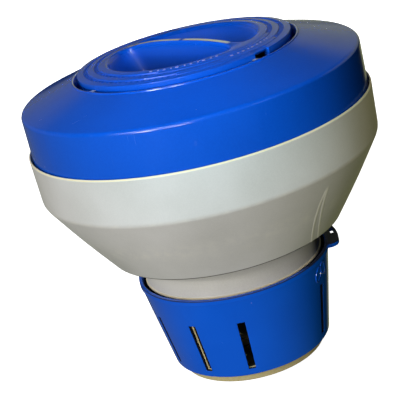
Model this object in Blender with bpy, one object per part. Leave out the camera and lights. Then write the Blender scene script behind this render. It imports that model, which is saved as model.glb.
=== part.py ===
"""Floating chlorine dispenser: blue twist-off lid and vent collar, two-shell float, grey tablet canister."""
import math

import bmesh
import bpy

MM = 0.001
STEPS = 48            # facets round a shell
FINE = 36             # facets round an inner ring

# Heights above the base, in millimetres.
Z_COLLAR = (5.7, 59.1)
Z_NECK = 76.6
Z_HULL = 78.4
Z_RIDGE = 122.4
Z_SEAT = 144.0
Z_WALL = 145.5
Z_RIM = 148.2
Z_SHOULDER = 172.2
Z_MOUTH = 181.7
Z_WELL = 166.5
Z_CROWN = 190.5

# Radii, in millimetres.
R_RIM = 97.0
R_LIP = 96.0
R_RIDGE = 96.4
R_HULL = 67.8
R_WALL = 95.0
R_MOUTH = 64.2
R_TUBE = 52.7
R_BORE = 50.4
R_COLLAR = (46.7, 56.2)
R_BASE = 42.5
R_RECESS = 42.5
WALL = 2.2
GAP = 0.3

# Bearings run from -Y towards +X, in degrees.
SLOTS = (-67.5, -36.0, -4.5, 58.5, 112.5, 144.0, 175.5, 238.5)
BARRED = (-36.0, 144.0)
SLOT_WIDTH = 4.2
SLOT_Z = (9.8, 41.6)
WINDOW_HALF = 6.0
TAB = (76.0, 110.0)
TAB_SLOT = 94.0
BAR = 44.0
NOTCH = 42.0
LUGS = (0.0, 90.0, 180.0, 270.0)
LUG_HALF = 11.0
LEDGE_HALF = 28.0
KEY = 90.0
COLLAR_TURN = 16.0


def clear():
    for old in list(bpy.data.objects):
        bpy.data.objects.remove(old, do_unlink=True)


def plastic(name, colour, roughness, coat=0.0):
    made = bpy.data.materials.new(name)
    made.use_nodes = True
    shader = made.node_tree.nodes["Principled BSDF"]
    shader.inputs["Base Color"].default_value = (*colour, 1.0)
    shader.inputs["Roughness"].default_value = roughness
    shader.inputs["Coat Weight"].default_value = coat
    made.diffuse_color = (*colour, 1.0)
    return made


def blue_plastic(name):
    return plastic(name, (0.012, 0.075, 0.56), 0.28, 0.2)


def grey_plastic(name):
    return plastic(name, (0.56, 0.56, 0.52), 0.42)


def black_rubber(name):
    return plastic(name, (0.016, 0.016, 0.017), 0.7)


def spot(radius, bearing, z):
    turn = math.radians(bearing)
    return (radius * math.sin(turn) * MM, -radius * math.cos(turn) * MM, z * MM)


def placed(name, shape, material=None, sharp=32.0):
    bmesh.ops.recalc_face_normals(shape, faces=shape.faces)
    mesh = bpy.data.meshes.new(name)
    shape.to_mesh(mesh)
    shape.free()
    made = bpy.data.objects.new(name, mesh)
    bpy.context.scene.collection.objects.link(made)
    if material:
        mesh.materials.append(material)
        mesh.shade_smooth()
        mesh.set_sharp_from_angle(angle=math.radians(sharp))
    return made


def turned(name, section, material, steps=STEPS):
    """A closed section of (radius, z) points, turned about Z."""
    shape = bmesh.new()
    rings = []
    for radius, z in section:
        if radius == 0:
            rings.append([shape.verts.new((0, 0, z * MM))] * steps)
        else:
            rings.append([shape.verts.new(spot(radius, 360 * i / steps, z)) for i in range(steps)])
    for low, high in zip(rings, rings[1:] + rings[:1]):
        for i in range(steps):
            j = (i + 1) % steps
            corners = []
            for vert in (low[i], low[j], high[j], high[i]):
                if vert not in corners:
                    corners.append(vert)
            if len(corners) > 2:
                shape.faces.new(corners)
    return placed(name, shape, material)


def prism(shape, bottom, top):
    """Adds one closed prism between two loops of points."""
    low = [shape.verts.new(point) for point in bottom]
    high = [shape.verts.new(point) for point in top]
    shape.faces.new(low)
    shape.faces.new(high)
    for i in range(len(low)):
        j = (i + 1) % len(low)
        shape.faces.new((low[i], low[j], high[j], high[i]))


def sector(shape, radii, bearings, heights, cuts=6):
    """Adds an arc of a ring."""
    inner, outer = radii
    first, last = bearings
    angles = [first + (last - first) * i / cuts for i in range(cuts + 1)]
    loop = [(outer, a) for a in angles] + [(inner, a) for a in reversed(angles)]
    prism(shape, *[[spot(r, a, z) for r, a in loop] for z in heights])


def block(shape, bearing, radii, width, heights, lean=0.0):
    """Adds a box that points out along a bearing; lean moves its top outwards."""
    loops = []
    for z, shift in zip(heights, (0.0, lean)):
        loop = []
        for radius, side in ((radii[0], -1), (radii[1], -1), (radii[1], 1), (radii[0], 1)):
            x, y, _ = spot(radius + shift, bearing, 0)
            across = math.radians(bearing)
            half = side * width / 2 * MM
            loop.append((x + half * math.cos(across), y + half * math.sin(across), z * MM))
        loops.append(loop)
    prism(shape, *loops)


def helper(name, shape):
    made = placed(name, shape)
    made.hide_render = True
    made.display_type = "WIRE"
    return made


def boolean(target, tool, operation):
    step = target.modifiers.new(f"{operation.lower()}_{tool.name}", "BOOLEAN")
    step.operation = operation
    step.solver = "EXACT"
    step.object = tool


def collar_radius(z):
    share = (z - Z_COLLAR[0]) / (Z_COLLAR[1] - Z_COLLAR[0])
    return R_COLLAR[0] + (R_COLLAR[1] - R_COLLAR[0]) * share


def float_cover():
    section = [
        (92.6, Z_WALL), (R_WALL, Z_WALL), (94.9, 168.4), (94.4, 170.4), (93.2, 171.9), (91.4, Z_SHOULDER + 0.8),
        (66.0, Z_MOUTH - 0.6), (R_MOUTH + 0.9, Z_MOUTH - 0.3), (R_MOUTH, Z_MOUTH - 0.9), (63.6, Z_MOUTH - 2.2),
        (63.4, Z_WELL), (53.0, Z_WELL), (53.0, Z_WELL - WALL),
        (65.6, Z_WELL - WALL), (65.8, 178.6), (90.2, 170.5), (92.5, 167.6),
    ]
    cover = turned("float_cover", section, blue_plastic("cover_blue"))
    shape = bmesh.new()
    stops = bmesh.new()
    for bearing in LUGS:
        middle = bearing + 45
        sector(shape, (60.4, 64.4), (middle - LEDGE_HALF, middle + LEDGE_HALF), (174.2, 176.4), 8)
        sector(stops, (60.9, 64.2), (middle - 12.5, middle - 9.0), (169.4, 175.0), 1)
    boolean(cover, helper("bayonet_ledges", shape), "UNION")
    boolean(cover, helper("bayonet_stops", stops), "UNION")


def lid():
    section = [
        (57.4, 168.8), (59.3, 168.8), (59.3, 181.7), (59.8, 182.1), (59.7, 182.6), (59.0, 184.6),
        (58.3, 185.0), (55.9, 185.4), (55.6, 184.8), (53.6, 185.1), (53.3, 185.9), (50.6, 186.2),
        (50.3, 185.6), (47.9, 185.9), (47.6, 186.6), (44.6, 187.0), (R_RECESS + 0.5, 186.9),
        (R_RECESS - 0.9, 185.9), (31.0, 169.6), (28.0, 168.1), (0, 168.1),
        (0, 165.9), (28.6, 165.9), (32.8, 168.2), (43.4, 183.3), (57.4, 182.7),
    ]
    cap = turned("lid", section, blue_plastic("lid_blue"))
    shape = bmesh.new()
    for bearing in LUGS:
        sector(shape, (58.4, 61.8), (bearing - LUG_HALF, bearing + LUG_HALF), (170.2, 172.6), 4)
    boolean(cap, helper("bayonet_lugs", shape), "UNION")
    shape = bmesh.new()
    crown = [(-42.9, 186.6), (-38.5, 188.2), (-30.0, 189.5), (-15.0, 190.3), (0, Z_CROWN)]
    crown += [(-s, z) for s, z in reversed(crown[:-1])]
    outline = [(32.6, 169.0), (28.5, 167.0), (-28.5, 167.0), (-32.6, 169.0)] + crown
    faces = []
    for side in (-1, 1):
        loop = []
        for along, z in outline:
            half = side * (2.6 - 0.9 * (z - 167.0) / 23.5) * MM
            x, y, _ = spot(along, BAR, 0)
            turn = math.radians(BAR)
            loop.append((x + half * math.cos(turn), y + half * math.sin(turn), z * MM))
        faces.append(loop)
    prism(shape, *faces)
    boolean(cap, helper("grip_bar", shape), "UNION")
    shape = bmesh.new()
    block(shape, NOTCH, (55.9, 62.0), 8.2, (179.4, 184.1))
    boolean(cap, helper("lid_notch", shape), "DIFFERENCE")


def float_bowl():
    section = [
        (53.0, Z_HULL - 0.3), (R_HULL - 1.2, Z_HULL - 0.3), (R_HULL, Z_HULL + 0.5),
        (82.5, 100.1), (94.2, 118.8), (96.0, 121.0), (R_RIDGE + 0.1, Z_RIDGE + 1.4),
        (R_RIM, Z_RIM - 0.4), (R_RIM - 0.3, Z_RIM), (R_LIP + 0.1, Z_RIM), (R_LIP, Z_SEAT), (93.7, Z_SEAT),
        (93.9, 123.4), (92.0, 119.8), (65.6, Z_HULL + 2.1), (53.0, Z_HULL + 2.1),
    ]
    turned("float_bowl", section, grey_plastic("bowl_grey"))


def ring(name, radii, heights, material, steps=FINE, soft=0.35):
    """A flat ring with eased outer edges."""
    inner, outer = radii
    low, high = heights
    section = [(inner, low), (outer - soft, low), (outer, low + soft), (outer, high - soft), (outer - soft, high)]
    return turned(name, section + [(inner, high)], material, steps)


def canister():
    foot, shoulder = 3.0, 7.9
    section = [
        (38.0, foot), (40.2, foot), (40.2, shoulder), (44.8, shoulder), (52.6, 56.0), (53.3, 58.4),
        (53.6, 59.6), (53.4, 60.4), (54.6, 71.0), (56.2, Z_NECK - 0.6), (56.0, Z_NECK), (R_TUBE, Z_NECK),
        (R_TUBE, 172.4), (R_BORE, 172.4), (R_BORE, 57.0), (42.5, 9.4), (38.0, 6.6),
    ]
    tube = turned("canister", section, grey_plastic("canister_grey"))
    shape = bmesh.new()
    for bearing in SLOTS:
        parts = [(bearing - WINDOW_HALF, bearing + WINDOW_HALF)]
        if bearing in BARRED:
            parts = [(bearing - WINDOW_HALF, bearing - 1.3), (bearing + 1.3, bearing + WINDOW_HALF)]
        for first, last in parts:
            sector(shape, (40.0, 56.5), (first, last), (11.0, 40.2), 2)
    boolean(tube, helper("canister_windows", shape), "DIFFERENCE")
    shape = bmesh.new()
    sector(shape, (39.2, 41.6), (KEY - 3.0, KEY + 3.0), (5.9, shoulder + 0.8), 2)
    boolean(tube, helper("travel_key", shape), "UNION")


def clamp_nut():
    nut = ring("clamp_nut", (53.2, 56.7), (168.1, 172.0), grey_plastic("nut_grey"))
    shape = bmesh.new()
    for i in range(8):
        block(shape, 22.5 + 45 * i, (55.4, 58.0), 6.0, (166.0, 174.0))
    boolean(nut, helper("spanner_notches", shape), "DIFFERENCE")


def vent_collar():
    low, high = Z_COLLAR
    wall = 1.8
    section = [
        (40.7, low), (R_COLLAR[0] - 0.5, low), (R_COLLAR[0] + 0.1, low + 0.6), (R_COLLAR[1], high - 0.5),
        (R_COLLAR[1] - 0.5, high), (R_COLLAR[1] - wall, high), (collar_radius(7.4) - wall, 7.4), (40.7, 7.4),
    ]
    collar = turned("vent_collar", section, blue_plastic("collar_blue"))
    shape = bmesh.new()
    for bearing in SLOTS:
        block(shape, bearing, (38.0, 60.0), SLOT_WIDTH, SLOT_Z)
    boolean(collar, helper("vent_slots", shape), "DIFFERENCE")
    shape = bmesh.new()
    first, last = TAB
    loop = [(54.9, first - 2), (61.2, first), (62.9, first + 1.5), (63.6, first + 4)]
    loop += [(63.6, first + (last - first) * k / 8) for k in range(2, 7)]
    loop += [(63.6, last - 4), (62.9, last - 1.5), (61.2, last), (54.9, last + 2)]
    loop += [(54.9, last + 2 - (last - first + 4) * k / 6) for k in range(1, 6)]
    prism(shape, *[[spot(r, a, z) for r, a in loop] for z in (high - 2.8, high - 0.2)])
    boolean(collar, helper("tether_tab", shape), "UNION")
    shape = bmesh.new()
    sector(shape, (59.0, 62.0), (TAB_SLOT - 4.2, TAB_SLOT + 4.2), (high - 6, high + 3), 4)
    boolean(collar, helper("tether_slot", shape), "DIFFERENCE")
    reach = COLLAR_TURN + 3.5
    shape = bmesh.new()
    sector(shape, (38.0, 42.1), (KEY - reach, KEY + reach), (4.0, 9.0), 6)
    boolean(collar, helper("travel_notch", shape), "DIFFERENCE")


def base_cap():
    section = [
        (0, 0), (R_BASE - 1.0, 0), (R_BASE, 1.0), (R_BASE, 4.8), (R_BASE - 0.4, 5.2), (40.5, 5.2),
        (40.5, WALL), (0, WALL),
    ]
    cap = turned("base_cap", section, grey_plastic("base_grey"))
    for i in range(3):
        shape = bmesh.new()
        block(shape, 60 * i, (-37.0, 37.0), 2.0, (WALL - 0.8, 6.4))
        boolean(cap, helper(f"tablet_rib_{i + 1}", shape), "UNION")
    shape = bmesh.new()
    for i in range(6):
        block(shape, 60 * i + 30, (14.0, 33.0), 5.0, (-2.0, 4.0))
    boolean(cap, helper("drain_slots", shape), "DIFFERENCE")


def build():
    clear()
    base_cap()
    canister()
    vent_collar()
    float_bowl()
    float_cover()
    lid()
    clamp_nut()
    ring("neck_seal", (53.2, 56.0), (Z_NECK + GAP, Z_HULL - 0.6), black_rubber("neck_seal_black"))
    ring("rim_seal", (93.9, 95.6), (Z_SEAT + GAP, Z_WALL - GAP), black_rubber("rim_seal_black"), STEPS)
    ring("well_seal", (53.2, 57.0), (Z_WELL + GAP, 167.8), black_rubber("well_seal_black"))
    ring("lid_seal", (57.6, 59.9), (Z_WELL + 0.8, 168.5), black_rubber("lid_seal_black"))


build()
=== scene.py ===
"""Looks of the floating chlorine dispenser: fine moulded shells, seals, marks, plastics and studio."""
import math
from functools import cached_property

import bmesh
import bpy
from mathutils import Matrix, Vector


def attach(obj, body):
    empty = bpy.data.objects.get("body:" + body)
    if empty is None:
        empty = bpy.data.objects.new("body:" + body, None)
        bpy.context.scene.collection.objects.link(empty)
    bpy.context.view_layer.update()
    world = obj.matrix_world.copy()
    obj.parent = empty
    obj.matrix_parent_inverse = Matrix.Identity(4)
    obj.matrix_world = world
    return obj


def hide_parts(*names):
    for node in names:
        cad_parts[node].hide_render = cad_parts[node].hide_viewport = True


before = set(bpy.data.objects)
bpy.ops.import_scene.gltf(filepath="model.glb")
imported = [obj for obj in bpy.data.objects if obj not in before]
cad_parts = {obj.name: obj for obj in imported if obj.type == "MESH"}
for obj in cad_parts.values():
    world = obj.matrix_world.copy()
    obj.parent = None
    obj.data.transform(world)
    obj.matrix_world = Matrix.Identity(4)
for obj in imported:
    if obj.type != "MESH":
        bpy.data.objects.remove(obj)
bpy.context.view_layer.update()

MM = 0.001
STEP = 2.0            # degrees between the columns of a turned mesh
ARC = 16.0            # degrees a fillet turns from one point to the next
RAMP = 0.4            # degrees over which a raised or sunk feature rises

# Bearings run from -Y towards +X, in degrees. Radii and heights are in millimetres.
SLOTS = (-67.5, -36.0, -4.5, 58.5, 112.5, 144.0, 175.5, 238.5)    # the collar's vents
BARRED = (-36.0, 144.0)                                           # vents with a bar in the window behind
LUGS = (0.0, 90.0, 180.0, 270.0)                                  # the lid's bayonet lugs
BAR = 44.0                                                        # the way the lid's grip bar points
NOTCH = (35.8, 46.0)                                              # the notch in the lid's side
TAB = (75.0, 111.0)                                               # the collar's tab
MIDDLE = (0, 0, 0.12)                                             # where the lamps aim, in metres
R_LAND = 44.6                                                     # where the lid's rings end
LID_SLOPE = 0.14                                                  # how steeply the rings fall outwards


# ---------------------------------------------------------------- turned meshes

def spot(radius, bearing, z):
    turn = math.radians(bearing)
    return Vector((radius * math.sin(turn) * MM, -radius * math.cos(turn) * MM, z * MM))


def columns(*exact):
    """Bearings every STEP round the axis, with the exact ones in place of those close to them."""
    exact = sorted({round(b % 360, 3) for b in exact})
    regular = [STEP * i for i in range(int(360 / STEP))]
    near = 0.45 * STEP
    kept = [b for b in regular if all(abs((b - e + 180) % 360 - 180) > near for e in exact)]
    return sorted(kept + exact)


def within(bearing, first, last, ramp=RAMP):
    """1 between two bearings, 0 outside them, with a short ramp inside each end."""
    middle = (first + last) / 2
    off = abs((bearing - middle + 180) % 360 - 180)
    return min(1.0, max(0.0, ((last - first) / 2 - off) / ramp))


def ramp_ends(first, last, ramp=RAMP):
    """The bearings that need a column of their own for such a feature to be crisp."""
    return [first, first + ramp, last - ramp, last]


def eased(corners, closed):
    """A section's corners (radius, z, ease, tag), each ease turned into an arc, as (radius, z, tag, edge).
    Ease is a corner's rounding radius, and edge is how exposed to wear a point of it is."""
    whole = [(*c, *(0.0, "")[len(c) - 2:]) for c in corners]
    points = []
    for i, (radius, z, ease, tag) in enumerate(whole):
        inner = closed or 0 < i < len(whole) - 1
        here = Vector((radius, z))
        if not ease or not inner:
            points.append((radius, z, tag, 0.0))
            continue
        back = Vector(whole[i - 1][:2]) - here
        ahead = Vector(whole[(i + 1) % len(whole)][:2]) - here
        half = back.angle(ahead) / 2
        reach = min(ease / math.tan(half), 0.49 * back.length, 0.49 * ahead.length)
        ease = reach * math.tan(half)
        centre = here + (back.normalized() + ahead.normalized()).normalized() * ease / math.sin(half)
        start = here + back.normalized() * reach - centre
        end = here + ahead.normalized() * reach - centre
        sweep = math.pi - 2 * half
        convex = 1.0 if back.x * ahead.y - back.y * ahead.x < 0 else 0.0
        count = max(2, math.ceil(math.degrees(sweep) / ARC))
        for k in range(count + 1):
            share = k / count
            arm = start * math.sin((1 - share) * sweep) + end * math.sin(share * sweep)
            point = centre + arm / math.sin(sweep)
            points.append((point.x, point.y, tag, convex * math.sin(share * math.pi)))
    return points


def rim_of(grid, rows, first, count):
    """The loop of vertices round a block of cells, and where in it the loop turns."""
    total = len(grid[0])
    across = [(first + k) % total for k in range(count + 1)]
    path = [(rows[0], c) for c in across] + [(r, across[-1]) for r in rows[1:]]
    path += [(rows[-1], c) for c in reversed(across[:-1])]
    path += [(r, across[0]) for r in reversed(rows[1:-1])]
    turns = (0, count, count + len(rows) - 1, 2 * count + len(rows) - 1)
    return [grid[r][c] for r, c in path], turns


def turned(corners, angles, relief=None, holes=(), closed=True, soft=0.35):
    """Turns a section about Z. relief(tag, bearing) moves a tagged point outwards and up.
    A hole (tag, first, last) joins the cells between the points tag0, tag1 on one face of the wall
    to those between tag2 and tag3 on the other, and its far wall is marked for painted shade.
    Points of a lip with the highlight tag are marked for a painted highlight line."""
    section = eased(corners, closed)
    shape = bmesh.new()
    edge = shape.verts.layers.float.new("edge")
    pale = shape.verts.layers.float.new("pale")
    floor = shape.verts.layers.float.new("floor")
    deep = shape.verts.layers.float.new("deep")
    grid = []
    for radius, z, tag, worn in section:
        if radius == 0:
            grid.append([shape.verts.new((0, 0, z * MM))] * len(angles))
            continue
        row = []
        for bearing in angles:
            out, up = relief(tag, bearing) if relief and tag else (0.0, 0.0)
            row.append(shape.verts.new(spot(radius + out, bearing, z + up)))
            row[-1][edge] = worn
            # A lip's tagged points get a painted highlight line.
            row[-1][pale] = 1.0 if tag == "pale" else 0.0
            row[-1][floor] = 1.0 if tag.endswith("groove") and up <= 0.01 else 0.0
        grid.append(row)
    row_of = {tag: i for i, (_, _, tag, _) in enumerate(section) if tag}
    total = len(angles)
    cut, walls, rims, rim_wear = set(), [], [], 0.6
    for tag, first, last in holes:
        start = angles.index(round(first % 360, 3))
        count = (angles.index(round(last % 360, 3)) - start) % total
        low, high, back_high, back_low = (row_of[f"{tag}{n}"] for n in range(4))
        front = list(range(low, high + 1))
        back = list(range(back_low, back_high - 1, -1))
        for rows in (front, back):
            lowest = min(rows)
            steps = [(k, m) for k in range(len(rows) - 1) for m in range(count)]
            cut |= {(lowest + k, (start + m) % total) for k, m in steps}
        near, turns = rim_of(grid, front, start, count)
        far, _ = rim_of(grid, back, start, count)
        walls.append((near, far))
        rims += [(loop[k], loop[(k + 1) % len(loop)]) for loop in (near, far) for k in range(len(loop))]
        rims += [(near[k], far[k]) for k in turns]
    last_row = len(grid) if closed else len(grid) - 1
    for i in range(last_row):
        low, high = grid[i], grid[(i + 1) % len(grid)]
        for j in range(total):
            k = (j + 1) % total
            if (i, j) not in cut:
                shape.faces.new(dict.fromkeys((low[j], low[k], high[k], high[j])))
    for near, far in walls:
        for k in range(len(near)):
            m = (k + 1) % len(near)
            shape.faces.new((near[k], near[m], far[m], far[k]))
    if rims:
        for pair in rims:
            for vert in pair:
                vert[edge] = rim_wear
        # The far walls of the holes are marked for painted shade, nearly black.
        for _, far in walls:
            for vert in far:
                vert[deep] = 1.0
        edges = {shape.edges.get(pair) for pair in rims}
        bmesh.ops.bevel(
            shape, geom=list(edges), offset=soft * MM, segments=2, profile=0.5,
            affect="EDGES", clamp_overlap=True,
        )
    return shape


def piece(name, shape, material, body, node=None, sharp=38.0):
    """Makes the object, puts it on its body and lets it stand for its CAD node."""
    bmesh.ops.dissolve_degenerate(shape, dist=0.0002 * MM, edges=shape.edges)
    bmesh.ops.delete(shape, geom=[v for v in shape.verts if not v.link_faces], context="VERTS")
    bmesh.ops.recalc_face_normals(shape, faces=shape.faces)
    mesh = bpy.data.meshes.new(name)
    shape.to_mesh(mesh)
    shape.free()
    mesh.materials.append(material)
    mesh.shade_smooth()
    mesh.set_sharp_from_angle(angle=math.radians(sharp))
    made = bpy.data.objects.new(name, mesh)
    bpy.context.scene.collection.objects.link(made)
    normals = made.modifiers.new("flat_faces", "WEIGHTED_NORMAL")
    normals.keep_sharp = True
    normals.weight = 80
    if node:
        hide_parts(node)
    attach(made, body)
    return made


# ---------------------------------------------------------------- plastics and rubber

class Tree:
    """Adds shader nodes to a node tree; a keyword is a socket, given a value or linked to another node."""

    def __init__(self, tree):
        self.tree = tree

    def add(self, kind, settings=None, **sockets):
        node = self.tree.nodes.new(kind)
        for key, value in (settings or {}).items():
            setattr(node, key, value)
        self.feed(node, **sockets)
        return node

    def feed(self, node, **sockets):
        """A keyword such as i6 is the socket of that number; any other is the socket's name."""
        for key, value in sockets.items():
            numbered = key[0] == "i" and key[1:].isdigit()
            socket = node.inputs[int(key[1:]) if numbered else key.replace("_", " ")]
            if isinstance(value, bpy.types.NodeSocket):
                self.tree.links.new(value, socket)
            else:
                socket.default_value = value

    def math(self, operation, first, second=0.0):
        return self.add("ShaderNodeMath", {"operation": operation}, i0=first, i1=second).outputs[0]

    def product(self, first, second):
        return self.math("MULTIPLY", first, second)

    def maximum(self, first, second):
        return self.math("MAXIMUM", first, second)

    def mix(self, share, first, second, blend="MIX"):
        settings = {"data_type": "RGBA", "blend_type": blend}
        return self.add("ShaderNodeMix", settings, i0=share, i6=first, i7=second).outputs[2]

    def bearing_of(self, axes):
        """Degrees from -Y towards +X."""
        turn = self.math("ARCTAN2", axes[0], self.product(axes[1], -1.0))
        return self.product(turn, 180 / math.pi)


class Looks(Tree):
    """The nodes of one piece's material."""

    edge_fade = 0.3       # millimetres over which a mask's edge fades
    cone_fade = 0.15

    def __init__(self, name):
        self.material = bpy.data.materials.new(name)
        self.material.use_nodes = True
        super().__init__(self.material.node_tree)
        self.shader = self.tree.nodes["Principled BSDF"]

    @cached_property
    def place(self):
        return self.add("ShaderNodeTexCoord").outputs["Object"]

    @cached_property
    def axes(self):
        return self.add("ShaderNodeSeparateXYZ", Vector=self.place).outputs

    @cached_property
    def bearing(self):
        return self.bearing_of(self.axes)

    @cached_property
    def radius(self):
        """Distance from the Z axis."""
        squares = [self.product(self.axes[k], self.axes[k]) for k in (0, 1)]
        return self.math("SQRT", self.math("ADD", *squares))

    @property
    def height(self):
        return self.axes[2]

    def shifted(self, along, across):
        """The place, moved so that no two pieces share a pattern."""
        return self.add("ShaderNodeMapping", Location=(along, across, 0), Vector=self.place).outputs[0]

    def noise(self, scale, detail, vector, distortion=0.0):
        sockets = {"Scale": scale, "Detail": detail, "Distortion": distortion, "Vector": vector}
        return self.add("ShaderNodeTexNoise", **sockets).outputs[0]

    def specks(self, vector, scale, size, patches):
        """Sparse dots, in patches."""
        cells = self.add("ShaderNodeTexVoronoi", Vector=vector, Scale=scale).outputs["Distance"]
        dots = self.remap(cells, size, size - 0.025)
        return self.product(dots, self.remap(self.noise(patches, 1, vector), 0.55, 0.6))

    def remap(self, value, low, high, new_low=0.0, new_high=1.0):
        node = self.add("ShaderNodeMapRange")
        self.feed(node, Value=value, From_Min=low, From_Max=high, To_Min=new_low, To_Max=new_high)
        return node.outputs[0]

    def attribute(self, name):
        return self.add("ShaderNodeAttribute", {"attribute_name": name}).outputs["Fac"]

    def span(self, value, low, rise, fall, high):
        """1 between rise and fall, and 0 below low and above high."""
        return self.product(self.remap(value, low, rise), self.remap(value, high, fall))

    def between(self, value, low, high):
        """1 between two lengths in millimetres."""
        fade = self.edge_fade
        return self.span(value, (low - fade) * MM, low * MM, high * MM, (high + fade) * MM)

    def ring(self, radii, heights):
        """1 inside a ring round the Z axis, in millimetres."""
        return self.product(self.between(self.radius, *radii), self.between(self.height, *heights))

    def inside_cone(self, foot, slope, top):
        """1 within a cone whose radius is foot at Z = 0 and grows by slope, below top, in millimetres."""
        wall = self.math("ADD", self.product(self.height, slope), foot * MM)
        within_wall = self.remap(self.math("SUBTRACT", wall, self.radius), 0.0, self.cone_fade * MM)
        return self.product(within_wall, self.remap(self.height, (top + self.edge_fade) * MM, top * MM))

    def paint(self, colour, mask, strength, over):
        """The colour with another laid over it, as strongly as the mask times the strength."""
        return self.mix(self.product(mask, strength), colour, (*over, 1))

    def shaded(self, colour, rough, shade):
        """Lays a shade's layers (mask, strength, colour, whether matt) over a colour and a roughness."""
        for mask, strength, over, matt in shade(self) if shade else ():
            colour = self.paint(colour, mask, strength, over)
            rough = self.maximum(rough, mask) if matt else rough
        return colour, rough

    def bump(self, height, strength, distance, below=None):
        node = self.add("ShaderNodeBump", Height=height, Strength=strength, Distance=distance)
        if below:
            self.feed(node, Normal=below)
        return node.outputs[0]


def blue_plastic(name, seed, tone=1.0, shade=None):
    """Glossy pigmented polypropylene: cloudy pigment, orange peel, fine scratches, dust and worn edges;
    also painted highlight lines and painted shade on the slots' far walls.
    """
    darker, lighter, fleck = (0.0022, 0.073, 0.49), (0.003, 0.084, 0.54), (0.004, 0.108, 0.63)
    worn_edge, scratch, dust = (0.1, 0.22, 0.75), (0.2, 0.34, 0.8), (0.62, 0.64, 0.7)
    # Colours of the painted highlight lines and of the painted shade on the slots' far walls.
    painted_highlight_colour, painted_slot_shade_colour = (0.95, 0.74, 0.4), (0.0, 0.003, 0.012)
    m = Looks(name)
    shift = m.shifted(seed, seed * 0.7)
    stretch = m.add("ShaderNodeMapping", Rotation=(0.3, 0.2, seed), Scale=(1, 30, 1), Vector=m.place)
    clouds = m.remap(m.noise(28, 3, shift), 0.3, 0.7)
    grain = m.noise(900, 2, shift)
    scratches = m.remap(m.noise(70, 3, stretch.outputs[0], 0.6), 0.71, 0.76)
    worn = m.product(m.attribute("edge"), m.remap(m.noise(300, 3, shift), 0.55, 0.8))
    dark, light = [(red, green * tone, blue * tone, 1) for red, green, blue in (darker, lighter)]
    colour = m.mix(clouds, dark, light)
    colour = m.paint(colour, m.remap(grain, 0.35, 0.65), 0.2, fleck)
    colour = m.paint(colour, worn, 0.1, worn_edge)
    colour = m.paint(colour, scratches, 0.05, scratch)
    colour = m.paint(colour, m.specks(shift, 75.0, 0.045, 60), 0.7, dust)
    # Painted highlight along the lines marked on lips, the bar's back and the dashes' tops.
    colour = m.paint(colour, m.attribute("pale"), m.remap(grain, 0.3, 0.7, 0.7, 0.95), painted_highlight_colour)
    # Painted shade: the slots' far walls are nearly black.
    colour = m.paint(colour, m.attribute("deep"), 0.97, painted_slot_shade_colour)
    rough = m.math("ADD", m.remap(clouds, 0.0, 1.0, 0.13, 0.18), m.product(m.maximum(scratches, worn), 0.12))
    rough = m.math("ADD", rough, m.product(m.attribute("floor"), 0.45))
    colour, rough = m.shaded(colour, rough, shade)
    peel = m.bump(m.noise(150, 2, shift), 0.05, 0.0006)
    fine = m.bump(grain, 0.05, 0.0002, peel)
    marks = m.bump(scratches, 0.05, -0.0002, fine)
    m.feed(m.shader, Base_Color=colour, Roughness=rough, Normal=marks, Specular_IOR_Level=0.5)
    m.feed(m.shader, Coat_Weight=0.12, Coat_Roughness=0.08)
    return m.material


def lid_shade(m):
    """Painted shade: the finger pockets darken towards their floor."""
    pocket = m.remap(m.radius, 43.2 * MM, 41.8 * MM)
    depth = m.remap(m.height, 182.5 * MM, 174.0 * MM)
    return [(m.product(pocket, depth), 0.7, (0.0, 0.01, 0.08), False)]


def collar_shade(m):
    """Painted shade, nearly black: on the tab's top, beside the tab, on the rim's inner lip
    and inside the funnel.
    """
    tab_top = m.ring((56.2, 70.0), (58.4, 60.0))
    beside_tab = m.span(m.bearing, 36.0, 46.0, 126.0, 132.0)
    rim_top = m.product(beside_tab, m.remap(m.height, 58.7 * MM, 58.95 * MM))
    inner_lip = m.ring((50.0, 53.9), (56.0, 58.3))
    inside = m.maximum(m.maximum(rim_top, inner_lip), m.inside_cone(45.4, 0.18, 55.6))
    return [(tab_top, 0.96, (0.0, 0.002, 0.01), True), (inside, 0.96, (0.0, 0.002, 0.012), True)]


def grey_plastic(name, seed, tone=(0.6, 0.59, 0.565), shade=None, flow=False):
    """Satin warm-grey plastic with faint mottling, a spark-eroded texture and, on the bowl, flow marks;
    also painted highlight lines on lips.
    """
    fleck, worn_edge, dirt = (0.74, 0.73, 0.68), (0.78, 0.76, 0.66), (0.86, 0.86, 0.84)
    painted_highlight_colour, streak = (0.9, 0.76, 0.48), (0.95, 0.93, 0.84)
    m = Looks(name)
    shift = m.shifted(seed, seed * 0.7)
    clouds = m.remap(m.noise(22, 4, shift), 0.3, 0.7)
    grain = m.noise(1300, 2, shift)
    worn = m.product(m.attribute("edge"), m.remap(m.noise(180, 3, shift), 0.4, 0.7))
    dark = tuple(c * k for c, k in zip(tone, (0.9, 0.9, 0.87)))
    light = tuple(min(1.0, c * k) for c, k in zip(tone, (1.06, 1.06, 1.05)))
    colour = m.mix(clouds, (*dark, 1), (*light, 1))
    colour = m.paint(colour, m.remap(grain, 0.35, 0.65), 0.16, fleck)
    colour = m.paint(colour, worn, 0.35, worn_edge)
    colour = m.paint(colour, m.specks(shift, 60.0, 0.04, 45), 0.5, dirt)
    # Painted highlight along the lines marked on lips.
    colour = m.paint(colour, m.attribute("pale"), 0.9, painted_highlight_colour)
    colour, rough = m.shaded(colour, m.remap(clouds, 0.0, 1.0, 0.36, 0.46), shade)
    height = m.bump(grain, 0.09, 0.0002)
    if flow:
        streaks = flow_marks(m)
        colour = m.paint(colour, streaks, 0.75, streak)
        height = m.bump(streaks, 0.4, 0.0003, height)
    height = m.bump(m.noise(70, 2, shift), 0.04, 0.0008, height)
    m.feed(m.shader, Base_Color=colour, Roughness=rough, Normal=height, Specular_IOR_Level=0.42)
    return m.material


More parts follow.
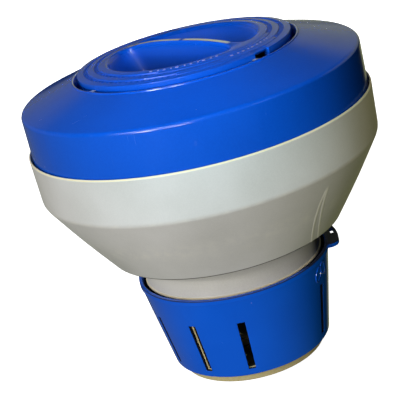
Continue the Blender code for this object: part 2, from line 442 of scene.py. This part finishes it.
def bowl_shade(m):
    """Painted shade in the corner under the bowl, beside the neck."""
    return [(m.ring((66.4, 69.0), (77.0, 78.7)), 0.9, (0.035, 0.028, 0.015), False)]


def base_shade(m):
    """Painted shade inside the dish."""
    return [(m.ring((0.0, 40.0), (1.9, 8.0)), 0.9, (0.035, 0.028, 0.015), False)]


def canister_shade(m):
    """Beige behind the vents. Painted shade, nearly black: behind the tab, at the foot of the neck's gap
    and inside.
    """
    foot = m.remap(m.height, 57.0 * MM, 55.5 * MM)
    behind_tab = m.span(m.bearing, 57.0, 67.0, 110.0, 128.0)
    gap_floor = m.span(m.height, 54.0 * MM, 55.0 * MM, 57.4 * MM, 57.8 * MM)
    return [
        (foot, 0.85, (0.62, 0.5, 0.22), False),
        (m.maximum(behind_tab, gap_floor), 0.93, (0.02, 0.017, 0.008), False),
        (m.inside_cone(43.0, 0.167, 56.0), 0.96, (0.006, 0.005, 0.003), True),
    ]


def flow_marks(m):
    """Two fine bowed lines down the cone, where the melt met beside the gate. They part towards the neck."""
    lines = []
    for start, spread, level, reach in ((37.5, 6.4, 110.0, 32.0), (35.7, 3.1, 100.0, 20.0)):
        rise = m.math("DIVIDE", m.math("SUBTRACT", m.height, level * MM), reach * MM)
        bow = m.product(m.product(rise, rise), spread)
        off = m.math("ABSOLUTE", m.math("SUBTRACT", m.bearing, m.math("ADD", bow, start)))
        lines.append(m.remap(off, 0.75, 0.3))
    return m.product(m.maximum(*lines), m.remap(m.height, 115.0 * MM, 112.0 * MM))


def black_rubber(name, seed):
    """Matt rubber with a faint bloom."""
    m = Looks(name)
    shift = m.shifted(seed, seed)
    bloom = m.remap(m.noise(90, 3, shift), 0.4, 0.7)
    colour = m.mix(bloom, (0.006, 0.006, 0.0065, 1), (0.016, 0.016, 0.017, 1))
    rough = m.remap(bloom, 0.0, 1.0, 0.55, 0.72)
    grain = m.bump(m.noise(1600, 2, shift), 0.25, 0.0002)
    m.feed(m.shader, Base_Color=colour, Roughness=rough, Normal=grain, Specular_IOR_Level=0.3)
    return m.material


# ---------------------------------------------------------------- float

def float_cover():
    """The blue upper shell, with four bayonet ledges and stops in its well."""
    # The well's lip carries a painted highlight line.
    section = [
        (92.6, 145.5, 0.5), (95.0, 145.5, 0.5), (94.9, 171.95, 2.4), (64.6, 181.35, 0.5),
        (63.75, 181.6, 0.25), (63.65, 182.4, 0.4), (62.95, 182.4, 0.0, "pale"), (62.4, 182.0, 0.3),
        (62.4, 177.2), (63.5, 176.4, 0.0, "ledge"), (63.5, 174.4, 0.0, "ledge"),
        (63.5, 174.0, 0.0, "stop"), (63.5, 169.4, 0.0, "stop"), (63.45, 168.8), (63.4, 166.5, 1.2),
        (53.0, 166.5, 0.4), (53.0, 164.3, 0.4), (65.6, 164.3, 1.6), (65.8, 178.6, 1.5),
        (90.2, 170.5, 2.0), (92.5, 167.6, 1.0),
    ]
    ledge_depth, stop_depth = 3.1, 2.6
    ledges = [(lug + 17, lug + 73) for lug in LUGS]
    stops = [(lug + 32.5, lug + 36) for lug in LUGS]
    exact = []
    for ends in ledges + stops:
        exact += ramp_ends(*ends)

    def relief(tag, bearing):
        ledge = max(within(bearing, *ends) for ends in ledges)
        stop = max(within(bearing, *ends) for ends in stops)
        return (-ledge_depth * ledge if tag == "ledge" else -stop_depth * stop * ledge), 0.0

    shape = turned(section, columns(*exact), relief)
    piece("cover_shell", shape, blue_plastic("cover_blue", 1.0), "float", "float_cover")


def float_bowl():
    """The grey lower shell, with a thin lip round the cover's wall."""
    # The lip's top edge carries a painted highlight line.
    section = [
        (53.0, 78.1, 0.5), (67.6, 78.1, 1.0), (82.5, 99.9, 420.0), (96.3, 122.3, 6.0), (97.0, 147.2, 0.6),
        (96.9, 147.7, 0.0, "pale"), (96.5, 148.2, 0.0, "pale"), (96.1, 148.2, 0.1), (96.0, 144.0, 0.4),
        (93.7, 144.0, 0.5), (93.9, 122.6, 6.0), (80.4, 101.2, 400.0), (65.4, 80.5, 0.8), (53.0, 80.5, 0.5),
    ]
    shape = turned(section, columns())
    grey = grey_plastic("bowl_grey", 2.0, shade=bowl_shade, flow=True)
    piece("bowl_shell", shape, grey, "float", "float_bowl")


def canister():
    """The tablet tube: a tapered foot with a window behind each vent, a neck, a shoulder and a plain tube."""
    key, key_depth, half_window, bar = (87.0, 93.0), 1.4, 6.0, (-3.2, -1.9)
    # The edge at the neck's foot carries a painted highlight line.
    section = [
        (38.0, 3.0, 0.4), (40.2, 3.0, 0.4), (40.2, 5.6), (40.2, 6.0, 0.0, "key"), (40.2, 7.9, 0.0, "key"),
        (44.8, 7.9, 0.6), (45.12, 9.9, 0.0, "w0"), (50.04, 40.2, 0.0, "w1"), (51.3, 54.0, 2.0),
        (51.2, 57.2, 0.3), (52.0, 57.7, 0.2), (52.0, 58.2, 0.0, "pale"), (51.7, 58.6, 0.0, "pale"),
        (51.3, 59.0, 0.3), (52.0, 69.0, 15.0), (56.2, 76.6, 0.5), (52.7, 76.6, 0.6), (52.7, 172.4, 0.6),
        (50.4, 172.4, 0.6), (50.4, 57.0, 4.0), (47.61, 40.2, 0.0, "w2"), (42.64, 10.2, 0.0, "w3"),
        (42.5, 9.4, 0.5), (38.0, 6.6, 0.5),
    ]

    def relief(tag, bearing):
        return (key_depth * within(bearing, *key) if tag == "key" else 0.0), 0.0

    exact, holes = ramp_ends(*key), []
    for slot in SLOTS:
        first, last = slot - half_window, slot + half_window
        parts = [(first, slot + bar[0]), (slot + bar[1], last)] if slot in BARRED else [(first, last)]
        for first, last in parts:
            exact += [first, last]
            holes.append(("w", first, last))
    shape = turned(section, columns(*exact), relief, holes)
    grey = grey_plastic("canister_grey", 3.0, (0.55, 0.54, 0.49), canister_shade)
    piece("tablet_canister", shape, grey, "float", "canister")


def clamp_nut():
    """A threaded ring with eight notches for a spanner."""
    half_notch, notch_depth = 3.1, 1.3
    section = [
        (53.2, 168.1, 0.3), (56.7, 168.1, 0.5, "grip"), (56.7, 172.0, 0.5, "grip"), (53.2, 172.0, 0.5),
        (53.2, 171.2), (53.5, 170.8), (53.2, 170.4), (53.5, 170.0), (53.2, 169.6),
    ]
    middles = [22.5 + 45 * i for i in range(8)]
    exact = [m + off for m in middles for off in ramp_ends(-half_notch, half_notch)]

    def relief(tag, bearing):
        inside = max(within(bearing, m - half_notch, m + half_notch) for m in middles)
        return -notch_depth * inside, 0.0

    shape = turned(section, columns(*exact), relief)
    piece("spanner_nut", shape, grey_plastic("nut_grey", 4.0), "float", "clamp_nut")


def seal(name, node, body, radii, heights, seed):
    """A flat rubber ring with rolled edges and a fine moulding flash round its outer face."""
    inner, outer = radii
    low, high = heights
    middle, roll = (low + high) / 2, min(0.35, 0.3 * (high - low))
    flash = 0.12
    section = [
        (inner, low, roll), (outer - flash, low, roll), (outer - flash, middle - flash / 2), (outer, middle),
        (outer - flash, middle + flash / 2), (outer - flash, high, roll), (inner, high, roll),
    ]
    shape = turned(section, columns())
    piece(name, shape, black_rubber(f"{node}_black", seed), body, node)


def base_cap():
    """A shallow dish; its columns close up beside each drain slot, so the slots have parallel sides."""
    half, first, last = 2.5, 14.0, 33.0
    half_cell, half_sector = 6.0, 30.0
    section = [
        (0.0, 0.0), (11.5, 0.0), (first, 0.0, 0.0, "d0"), (20.0, 0.0), (26.0, 0.0), (last, 0.0, 0.0, "d1"),
        (38.9, 0.0, 0.3), (39.2, 0.35, 0.3), (39.8, 0.35, 0.3), (40.1, 0.0, 0.3), (42.5, 0.0, 1.0),
        (42.5, 5.2, 0.5), (40.5, 5.2, 0.4), (40.5, 2.2, 1.0), (last, 2.2, 0.0, "d2"), (26.0, 2.2),
        (20.0, 2.2), (first, 2.2, 0.0, "d3"), (11.5, 2.2), (0.0, 2.2),
    ]
    middles = [30.0 + 60.0 * i for i in range(6)]
    angles = columns(*[m + side * half_cell for m in middles for side in (-1, 1)])
    holes = [("d", m - half_cell, m + half_cell) for m in middles]
    shape = turned(section, angles, None, holes, closed=False, soft=0.4)
    for vert in shape.verts:
        radius = math.hypot(vert.co.x, vert.co.y) / MM
        if radius < 1:
            continue
        bearing = math.degrees(math.atan2(vert.co.x, -vert.co.y)) % 360
        middle = min(middles, key=lambda m: abs(bearing - m))
        off = bearing - middle
        side = math.degrees(math.asin(half / min(max(radius, first), last)))
        share = abs(off) / half_cell
        outside = (abs(off) - half_cell) / (half_sector - half_cell)
        new = share * side if share < 1 else side + outside * (half_sector - side)
        vert.co = spot(radius, middle + math.copysign(new, off), vert.co.z / MM)
    grey = grey_plastic("base_grey", 5.0, (0.48, 0.4, 0.17), base_shade)
    piece("base_dish", shape, grey, "float", "base_cap")
    base_ribs()


def base_ribs():
    """Six arms that hold the tablets off the drain slots, two millimetres wide."""
    tip, root, bottom, top = 37.0, 1.0 / math.sin(math.radians(30)), 2.25, 6.4
    shape = bmesh.new()
    loop = []
    for i in range(6):
        bearing = 60.0 * i
        for radius, side in ((tip, -1.0), (tip, 1.0), (root, 0.0)):
            at = spot(radius, bearing + (30.0 if side == 0 else 0.0), 0)
            across = math.radians(bearing)
            loop.append(at + Vector((math.cos(across), math.sin(across), 0)) * side * MM)
    for z in (bottom, top):
        shape.faces.new([shape.verts.new(p + Vector((0, 0, z * MM))) for p in loop])
    shape.verts.ensure_lookup_table()
    count = len(loop)
    for i in range(count):
        j = (i + 1) % count
        shape.faces.new([shape.verts[k] for k in (i, j, count + j, count + i)])
    bmesh.ops.bevel(shape, geom=shape.edges[:], offset=0.3 * MM, segments=2, profile=0.5, affect="EDGES")
    made = piece("tablet_ribs", shape, bpy.data.materials["base_grey"], "float")


# ---------------------------------------------------------------- collar

def collar_wall(z):
    """Radius of the collar's outer face at this height."""
    foot_radius, foot_height, slope = 46.8, 6.3, 0.18
    return foot_radius + slope * (z - foot_height)


def collar():
    """The vent collar: a tapered wall with eight slots, a rim, and a flat tab with a slot for a cord."""
    wall, low, high, half_slot = 1.8, 9.8, 41.6, 2.4
    rim, under, over = 55.7, 56.2, 59.0
    section = [
        (40.7, 5.7, 0.3, "notch"), (46.7, 5.7, 0.7), (collar_wall(low), low, 0.0, "s0"),
        (collar_wall(high), high, 0.0, "s1"), (55.6, 56.0, 0.4), (rim, under, 0.0, "root"),
        (rim, under, 0.0, "t0"), (rim, under, 0.0, "t1"), (rim, under, 0.0, "end"), (rim, 56.6, 0.0, "tip"),
        (rim, 58.6, 0.0, "tip"), (rim, over, 0.0, "end"), (rim, over, 0.0, "t2"), (rim, over, 0.0, "t3"),
        (rim, over, 0.0, "root"), (54.4, 59.1, 0.4), (collar_wall(high) - wall, high, 0.0, "s2"),
        (collar_wall(low) - wall, low, 0.0, "s3"), (45.2, 7.4, 0.6), (40.7, 7.4, 0.4, "notch"),
    ]
    tab_share = {"root": 0.0, "t0": 0.42, "t1": 0.8, "end": 0.96, "tip": 1.0, "t2": 0.8, "t3": 0.42}
    first, last = TAB
    rounding, bead, tab_length = 5.5, 0.45, 6.2
    notch, notch_depth, cord = (70.5, 109.5), 1.4, (89.8, 98.2)

    def reach(bearing):
        """How far the rim stands out: a fine bead all round, and the tab with its rounded corners."""
        inside = min(1.0, max(0.0, min(bearing - first, last - bearing) / rounding))
        return bead + tab_length * math.sqrt(1 - (1 - inside) ** 2)

    def relief(tag, bearing):
        if tag == "notch":
            return notch_depth * within(bearing, *notch), 0.0
        return tab_share.get(tag, 0.0) * reach(bearing), 0.0

    exact, holes = ramp_ends(*notch) + [*cord], [("t", *cord)]
    for off in (0.0, 0.15, 0.6, 1.5):
        exact += [first + off, last - off]
    for slot in SLOTS:
        exact += [slot - half_slot, slot + half_slot]
        holes.append(("s", slot - half_slot, slot + half_slot))
    shape = turned(section, columns(*exact), relief, holes)
    blue = blue_plastic("collar_blue", 6.0, 1.22, collar_shade)
    piece("vent_collar_shell", shape, blue, "collar", "vent_collar")


def collar_mark():
    """Two overlapping oval outlines, raised on the collar above one slot."""
    shape = bmesh.new()
    width, height, sunk, steps, widest = 0.55, 0.3, -0.15, 40, 55.6
    ovals = ((54.5, 49.3, 2.9, 4.3, -28), (60.5, 51.0, 2.6, 4.4, 24))
    for bearing, z, half_wide, half_tall, lean in ovals:
        tilt = math.radians(lean)
        rows = []
        for i in range(steps):
            turn = math.tau * i / steps
            loop = []
            for off, up in ((-width, sunk), (-width * 0.6, height), (width * 0.6, height), (width, sunk)):
                x = (half_wide + off) * math.cos(turn)
                y = (half_tall + off) * math.sin(turn)
                across = x * math.cos(tilt) - y * math.sin(tilt)
                level = z + x * math.sin(tilt) + y * math.cos(tilt)
                radius = min(collar_wall(level), widest) + up
                loop.append(shape.verts.new(spot(radius, bearing + math.degrees(across / radius), level)))
            rows.append(loop)
        for one, two in zip(rows, rows[1:] + rows[:1]):
            for k in range(4):
                m = (k + 1) % 4
                shape.faces.new((one[k], one[m], two[m], two[k]))
    made = piece("collar_mark", shape, bpy.data.materials["collar_blue"], "collar", sharp=60)


# ---------------------------------------------------------------- lid

def lid_top(radius):
    """Height of the lid's top face between its grooves."""
    land_height = 187.0
    return land_height - (radius - R_LAND) * LID_SLOPE


def bar_crown(along):
    """Height of the grip bar's back along its length."""
    half_length, ends, rise, fullness = 42.9, 186.6, 3.9, 2.6
    share = min(1.0, abs(along) / half_length)
    return ends + rise * (1 - share ** fullness)


def lid():
    """The twist-off lid: a skirt with four lugs, stepped rings, a notch and two finger pockets."""
    groove, lug_depth, boss_depth, notch_depth = 0.75, 2.5, 1.4, 1.3
    section = [
        (0.0, 165.9), (28.6, 165.9, 2.0), (32.8, 168.2, 2.0), (43.4, 183.3, 1.5),
        (57.4, 182.9, 0.3, "boss"), (57.4, 182.2, 0.0, "n2"), (57.4, 181.5, 0.0, "boss"),
        (57.4, 180.8, 0.0, "boss"), (57.4, 180.1, 0.0, "boss"), (57.4, 179.4, 0.0, "n3"),
        (57.4, 168.8, 0.4), (59.3, 168.8, 0.4), (59.3, 169.8),
        (59.3, 170.2, 0.0, "lug"), (59.3, 172.6, 0.0, "lug"), (59.3, 173.0), (59.3, 179.4, 0.0, "n0"),
        (59.3, 181.0), (59.7, 181.5), (59.8, 182.1), (59.8, 183.8, 0.0, "n1"), (59.75, 184.8, 0.3, "brow"),
        (56.2, lid_top(56.2), 0.35, "brow"),
        (55.9, lid_top(55.9) - groove, 0.25, "outer_groove"),
        (53.7, lid_top(53.7) - groove, 0.25, "outer_groove"),
        (53.4, lid_top(53.4), 0.35), (50.0, lid_top(50.0), 0.35),
        (49.7, lid_top(49.7) - groove, 0.25, "inner_groove"),
        (47.5, lid_top(47.5) - groove, 0.25, "inner_groove"),
        (47.2, lid_top(47.2), 0.35), (R_LAND, lid_top(R_LAND)),
    ]
    first, last = NOTCH
    notch_ramp, boss_ramp, groove_ramp = 0.2, 1.5, 1.0
    boss = (first - 3, last + 3)
    lugs = [(lug - 11, lug + 11) for lug in LUGS]
    arcs = {"outer_groove": (62, 354), "inner_groove": (71, 342)}
    exact = ramp_ends(first, last, notch_ramp) + [*boss]
    for ends in lugs:
        exact += ramp_ends(*ends)
    for ends in arcs.values():
        exact += ramp_ends(*ends, groove_ramp)

    def relief(tag, bearing):
        if tag == "lug":
            return lug_depth * max(within(bearing, *ends) for ends in lugs), 0.0
        if tag in arcs:
            return 0.0, groove * (1 - within(bearing, *arcs[tag], groove_ramp))
        if tag in ("boss", "n2", "n3"):
            return -boss_depth * within(bearing, *boss, boss_ramp), 0.0
        if tag in ("n1", "brow"):
            return -notch_depth * within(bearing, first, last, notch_ramp), 0.0
        return 0.0, 0.0

    angles = columns(*exact, *[BAR + STEP * i for i in range(int(360 / STEP))])
    shape = turned(section, angles, relief, [("n", first, last)], closed=False)
    finger_pockets(shape, [v for v in shape.verts if v.is_boundary])
    piece("lid_shell", shape, blue_plastic("lid_blue", 8.0, shade=lid_shade), "lid", "lid")
    lid_marks()


def pocket_outline(radius, half_bar, corner, arc_count, line_count, corner_count):
    """A half-moon beside the bar, as points along and across it: round side, corner, bar side, corner."""
    level = half_bar + corner
    end = math.sqrt((radius - corner) ** 2 - level ** 2)
    tip = math.atan2(level, end)
    points = []
    for k in range(arc_count + 1):
        turn = tip + (math.pi - 2 * tip) * k / arc_count
        points.append((radius * math.cos(turn), radius * math.sin(turn)))
    sweep = math.pi / 2 + tip
    for k in range(1, corner_count):
        turn = math.pi - tip + sweep * k / corner_count
        points.append((-end + corner * math.cos(turn), level + corner * math.sin(turn)))
    for k in range(line_count + 1):
        points.append((-end + 2 * end * k / line_count, half_bar))
    for k in range(1, corner_count):
        turn = -math.pi / 2 + sweep * k / corner_count
        points.append((end + corner * math.cos(turn), level + corner * math.sin(turn)))
    return points


def finger_pockets(shape, boundary):
    """Fills the lid's middle: the land, the arched bar and a deep half-moon pocket on each side of it."""
    turn = math.radians(BAR)
    along = Vector((math.sin(turn), -math.cos(turn), 0))
    across = Vector((math.cos(turn), math.sin(turn), 0))
    edge = shape.verts.layers.float["edge"]
    pale = shape.verts.layers.float["pale"]
    rough_floor = shape.verts.layers.float["floor"]
    line_count = 44
    arc_spare, line_spare = 4, 3          # points of the arc and of the bar that go to each corner
    bar_back, bar_shoulder = 1.2, 6.0     # half width of the bar's back, and how far its sides slope
    # The painted highlight along the bar's back: start, end, middle of its break, half the break, width.
    highlight_start, highlight_end, highlight_break, half_break, highlight_width = -42, 35, 1.5, 1.6, 1.7
    floor, hub_across, foot_share = 168.1, 14.0, 0.15
    # The pocket's foot, how much wider each is at the mouth, and how much the foot's rounding tucks in.
    wall_foot, wall_lean, wall_tuck = 31.0, 11.0, 2.4
    bar_foot, bar_lean, bar_tuck = 2.75, -0.5, 2.0
    corner_foot, corner_lean = 5.4, 1.6

    def turn_of(vert):
        return round(math.degrees(math.atan2(vert.co.dot(across), vert.co.dot(along))), 2) % 360

    def at(s, t, z):
        return along * s * MM + across * t * MM + Vector((0, 0, z * MM))

    def land(s, t):
        """Height of the lid's middle at this place along and across the bar."""
        flat = lid_top(max(R_LAND, math.hypot(s, t)))
        rise = max(0.0, bar_crown(s) - flat)
        fall = min(1.0, max(0.0, (abs(t) - bar_back) / bar_shoulder))
        return flat + rise * (1 - fall * fall * (3 - 2 * fall))

    def painted_highlight_at(s, t):
        """1 on the painted highlight line along the bar's back, which is broken near its middle."""
        on_line = highlight_start < s < highlight_end and t < highlight_width
        return 1.0 if on_line and abs(s - highlight_break) > half_break else 0.0

    ring = sorted(boundary, key=turn_of)
    far_end = min(range(len(ring)), key=lambda k: abs(turn_of(ring[k]) - 180))
    spine = []
    spine_steps = line_count + 2 * line_spare
    for k in range(1, spine_steps):
        s = -R_LAND + 2 * R_LAND * k / spine_steps
        spine.append(shape.verts.new(at(s, 0, land(s, 0))))
        spine[-1][pale] = painted_highlight_at(s, 0)
    for side in (1, -1):
        arc = ring[:far_end + 1] if side == 1 else ring[:1] + ring[:far_end - 1:-1]
        frame_loop = arc + spine
        arc_count = len(arc) - 1 - 2 * arc_spare

        def outline(radius, half_bar, corner):
            """The pocket's outline at one depth, its points in step with the frame's."""
            steps = (arc_count, line_count, arc_spare + line_spare)
            points = pocket_outline(radius, half_bar, corner, *steps)
            return points[-arc_spare:] + points[:-arc_spare]

        # The mouth's rounding: radius, half width of the bar, corner, drop below the land, wear.
        mouth = [
            (43.4, 1.5, 7.6, 0.0, 0), (43.0, 1.75, 7.4, -0.06, 1), (42.6, 2.0, 7.2, -0.28, 1),
            (42.3, 2.15, 7.1, -0.62, 1), (42.0, 2.22, 7.0, -1.1, 0),
        ]
        loops = [frame_loop]
        for share in (0.4, 0.8):
            loop = []
            for vert, (s, t) in zip(frame_loop, outline(*mouth[0][:3])):
                s0, t0 = vert.co.dot(along) / MM, abs(vert.co.dot(across) / MM)
                s1, t1 = s0 + (s - s0) * share, t0 + (t - t0) * share
                loop.append(shape.verts.new(at(s1, side * t1, land(s1, t1))))
                loop[-1][pale] = painted_highlight_at(s1, t1)
            loops.append(loop)
        for radius, half_bar, corner, drop, worn in mouth:
            loop = []
            for s, t in outline(radius, half_bar, corner):
                loop.append(shape.verts.new(at(s, side * t, land(s, t) + drop)))
                loop[-1][edge] = worn
            loops.append(loop)
        rim = outline(*mouth[-1][:3])
        # The wall, from the mouth at share 1 to the floor at 0, with a rounding below foot_share.
        for share in (0.8, 0.55, 0.3, 0.15, 0.07, 0.02, 0.0):
            tuck = 1 - math.sqrt(1 - (1 - min(1.0, share / foot_share)) ** 2)
            radius = wall_foot + wall_lean * share - wall_tuck * tuck
            half_bar = bar_foot + bar_lean * share + bar_tuck * tuck
            loop = []
            for (s, t), (s0, t0) in zip(outline(radius, half_bar, corner_foot + corner_lean * share), rim):
                top = land(s0, t0) + mouth[-1][3]
                loop.append(shape.verts.new(at(s, side * t, floor + (top - floor) * share)))
                loop[-1][rough_floor] = 1.0
            loops.append(loop)
        for inward in (0.7, 0.35):
            loop = []
            for s, t in outline(wall_foot - wall_tuck, bar_foot + bar_tuck, corner_foot):
                place = at(s * inward, side * (hub_across + (t - hub_across) * inward), floor)
                loop.append(shape.verts.new(place))
            loops.append(loop)
        count = len(frame_loop)
        for one, two in zip(loops, loops[1:]):
            for k in range(count):
                m = (k + 1) % count
                shape.faces.new((one[k], one[m], two[m], two[k]))
        hub = shape.verts.new(at(0, side * hub_across, floor))
        for k in range(count):
            shape.faces.new((loops[-1][k], loops[-1][(k + 1) % count], hub))


def lid_marks():
    """Rows of plain raised dashes. The tops of the dashes in the two rows on the land get a faint
    painted highlight.
    """
    lengths, half_wide, taper, sunk, height = (1.9, 1.1, 1.5, 0.8), 0.5, 0.72, 0.1, 0.3
    # Each row: radius, first and last bearing, gap, height above the lid's rings.
    rows = (
        (54.8, -84.0, -9.0, 3.3, -0.75), (48.6, -78.0, -22.0, 3.9, -0.75),
        (51.7, 27.0, 62.0, 3.6, 0.0), (46.0, -24.0, 22.0, 4.0, 0.0),
    )
    shape = bmesh.new()
    pale = shape.verts.layers.float.new("pale")
    for radius, first, last, gap, level in rows:
        bearing, index = first, 0
        while bearing < last:
            length = lengths[index % len(lengths)]
            half = math.degrees(length / 2 / radius)
            base = lid_top(radius) + level
            loops = []
            for z, grow in ((base - sunk, 1.0), (base + height, taper)):
                loop = []
                for a, b in ((-1, -1), (1, -1), (1, 1), (-1, 1)):
                    out = a * half_wide
                    place = spot(radius + out * grow, bearing + b * half * grow, z - LID_SLOPE * out)
                    loop.append(shape.verts.new(place))
                    # Faint painted highlight on the tops of the dashes on the land.
                    loop[-1][pale] = 0.3 if z > base and level == 0 else 0.0
                loops.append(loop)
            shape.faces.new(loops[0])
            shape.faces.new(loops[1])
            for k in range(4):
                m = (k + 1) % 4
                shape.faces.new((loops[0][k], loops[0][m], loops[1][m], loops[1][k]))
            bearing += gap + math.degrees((length - 1) / radius)
            index += 1
    made = piece("lid_marks", shape, bpy.data.materials["lid_blue"], "lid", sharp=60)


# ---------------------------------------------------------------- studio

def camera():
    """The viewpoint: a little above the float, rolled so that the dispenser leans."""
    yaw, dip, roll = -0.0163, 0.3446, 0.2414
    place = Matrix.Translation((0, -0.65037, 0.33092))
    ahead = Vector((math.sin(yaw) * math.cos(dip), math.cos(yaw) * math.cos(dip), -math.sin(dip)))
    right = ahead.cross(Vector((0, 0, 1))).normalized()
    down = ahead.cross(right)
    side = right * math.cos(roll) + down * math.sin(roll)
    below = down * math.cos(roll) - right * math.sin(roll)
    lens = bpy.data.cameras.new("camera")
    lens.sensor_width = 36.0
    lens.lens = 108.9
    lens.clip_start, lens.clip_end = 0.01, 50.0
    made = bpy.data.objects.new("camera", lens)
    turn = Matrix((side, -below, -ahead)).transposed().to_4x4()
    made.matrix_world = place @ turn
    bpy.context.scene.collection.objects.link(made)
    bpy.context.scene.camera = made


def floor():
    """A plain white floor that takes no part in the reflections."""
    shape = bmesh.new()
    bmesh.ops.create_grid(shape, x_segments=8, y_segments=8, size=12.0)
    mesh = bpy.data.meshes.new("floor")
    shape.to_mesh(mesh)
    shape.free()
    made = bpy.data.objects.new("floor", mesh)
    made.location = (0, 0, -0.0004)
    bpy.context.scene.collection.objects.link(made)
    m = Looks("floor_white")
    m.feed(m.shader, Base_Color=(0.9, 0.9, 0.9, 1), Roughness=0.9)
    m.feed(m.shader, Emission_Color=(1, 1, 1, 1), Emission_Strength=1.0)
    mesh.materials.append(m.material)
    made.visible_diffuse = False
    made.visible_glossy = False
    made.visible_shadow = False


def surroundings():
    """White to the camera. To the plastics, a dark room with a dim floor glow and a warm horizon behind."""
    world = bpy.data.worlds.new("room")
    bpy.context.scene.world = world
    world.use_nodes = True
    world.node_tree.nodes.clear()
    sky = Tree(world.node_tree)
    way = sky.add("ShaderNodeSeparateXYZ", i0=sky.add("ShaderNodeTexCoord").outputs["Generated"]).outputs
    bearing = sky.bearing_of(way)
    height = sky.product(sky.math("ARCSINE", way[2]), 180 / math.pi)
    away = sky.math("ABSOLUTE", bearing)

    def step(value, low, high):
        smooth = {"interpolation_type": "SMOOTHSTEP"}
        return sky.add("ShaderNodeMapRange", smooth, i0=value, i1=low, i2=high).outputs[0]

    def band(value, low, rise, fall, high):
        return sky.product(step(value, low, rise), step(value, high, fall))

    low = band(height, -44, -36, -6, 0)
    horizon = band(height, -3, 2, 20, 30)
    high = band(height, 20, 30, 46, 56)
    # The floor below, then its glow in front, on the left and behind; the horizon; and the wall above it.
    patches = (
        (band(height, -92, -91, -48, -36), (0.07, 0.1, 0.06)),
        (sky.product(low, band(bearing, -60, -40, 20, 48)), (0.05, 0.07, 0.03)),
        (sky.product(low, band(bearing, -172, -160, -60, -40)), (0.11, 0.12, 0.07)),
        (sky.product(low, step(bearing, 150, 160)), (0.3, 0.31, 0.16)),
        (sky.product(horizon, step(bearing, 84, 104)), (0.32, 0.33, 0.2)),
        (sky.product(horizon, band(bearing, -190, -180, -104, -84)), (0.17, 0.17, 0.11)),
        (sky.product(high, step(away, 100, 125)), (0.06, 0.075, 0.05)),
    )
    total = (0, 0, 0, 1)
    for share, colour in patches:
        glow = sky.mix(share, (0, 0, 0, 1), (*colour, 1))
        total = sky.mix(1.0, total, glow, "ADD")
    camera_ray = sky.add("ShaderNodeLightPath").outputs["Is Camera Ray"]
    background = sky.add("ShaderNodeBackground", i0=sky.mix(camera_ray, total, (1, 1, 1, 1)), i1=1.0)
    sky.add("ShaderNodeOutputWorld", i0=background.outputs[0])


def around(bearing, height, distance=1.8):
    """A place seen from the float's middle at this bearing and height angle."""
    level = distance * math.cos(math.radians(height))
    turn = math.radians(bearing)
    up = MIDDLE[2] + distance * math.sin(math.radians(height))
    return level * math.sin(turn), -level * math.cos(turn), up


def softbox(name, place, size, power, colour=(1, 1, 1), target=MIDDLE, in_gloss=True, only=()):
    """A rectangular lamp aimed at the target. It lights only the pieces named, or everything."""
    lamp = bpy.data.lights.new(name, "AREA")
    lamp.shape = "RECTANGLE"
    lamp.size, lamp.size_y = size
    lamp.energy = power
    lamp.color = colour
    made = bpy.data.objects.new(name, lamp)
    made.location = place
    aim = Vector(target) - Vector(place)
    made.rotation_euler = aim.to_track_quat("-Z", "Y").to_euler()
    made.visible_camera = False
    made.visible_glossy = in_gloss
    bpy.context.scene.collection.objects.link(made)
    if only:
        lit = bpy.data.collections.new(name + "_lit")
        for piece_name in only:
            lit.objects.link(bpy.data.objects[piece_name])
        made.light_linking.receiver_collection = lit
    return lamp


def lights():
    """Two keys from the front left, narrow strips for the edges, and lamps for the lid, side and back."""
    low_pieces = ("bowl_shell", "base_dish", "vent_collar_shell")
    top_pieces = ("lid_shell", "lid_marks", "cover_shell")
    softbox("key", around(-34, 5), (0.35, 0.35), 13.2, (0.98, 0.97, 1.07))
    softbox("key_warm", around(-14, 6), (0.4, 0.35), 6.8, (1.06, 0.97, 0.88))
    softbox("strip", around(-30, 28), (1.5, 0.03), 10.0)
    softbox("strip_right", around(36, 27), (1.3, 0.012), 1.0)
    softbox(
        "near_top", (-0.02, -0.2, 0.31), (0.1, 0.06), 0.22, (0.5, 1.0, 1.2),
        target=(0, -0.07, 0.17), in_gloss=False,
    )
    softbox("right_warm", around(82, 5), (0.5, 0.5), 3.2, (1.0, 0.9, 0.3), in_gloss=False, only=low_pieces)
    near_lid = softbox(
        "near_lid", (-0.03, -0.27, 0.36), (0.08, 0.05), 0.012, (0.4, 0.8, 1.3),
        target=(0.0, 0.01, 0.182), in_gloss=False, only=top_pieces,
    )
    near_lid.spread = math.radians(34)
    softbox("back_right", around(170, 8), (0.6, 0.4), 17.0, (1.0, 0.98, 0.9), in_gloss=False)
    softbox("back_left", around(-150, 10), (0.6, 0.4), 14.0, (1.0, 1.0, 0.97), in_gloss=False)


bpy.context.scene.view_settings.view_transform = "Standard"
bpy.context.scene.view_settings.look = "None"
camera()
surroundings()
floor()
float_cover()
float_bowl()
canister()
clamp_nut()
base_cap()
collar()
collar_mark()
lid()
seal("rim_seal_ring", "rim_seal", "float", (93.9, 95.6), (144.3, 145.2), 1.0)
seal("neck_seal_ring", "neck_seal", "float", (53.2, 56.0), (76.9, 77.8), 2.0)
seal("well_seal_ring", "well_seal", "float", (53.2, 57.0), (166.8, 167.8), 3.0)
seal("lid_seal_ring", "lid_seal", "lid_carrier", (57.6, 59.9), (167.3, 168.5), 4.0)
lights()
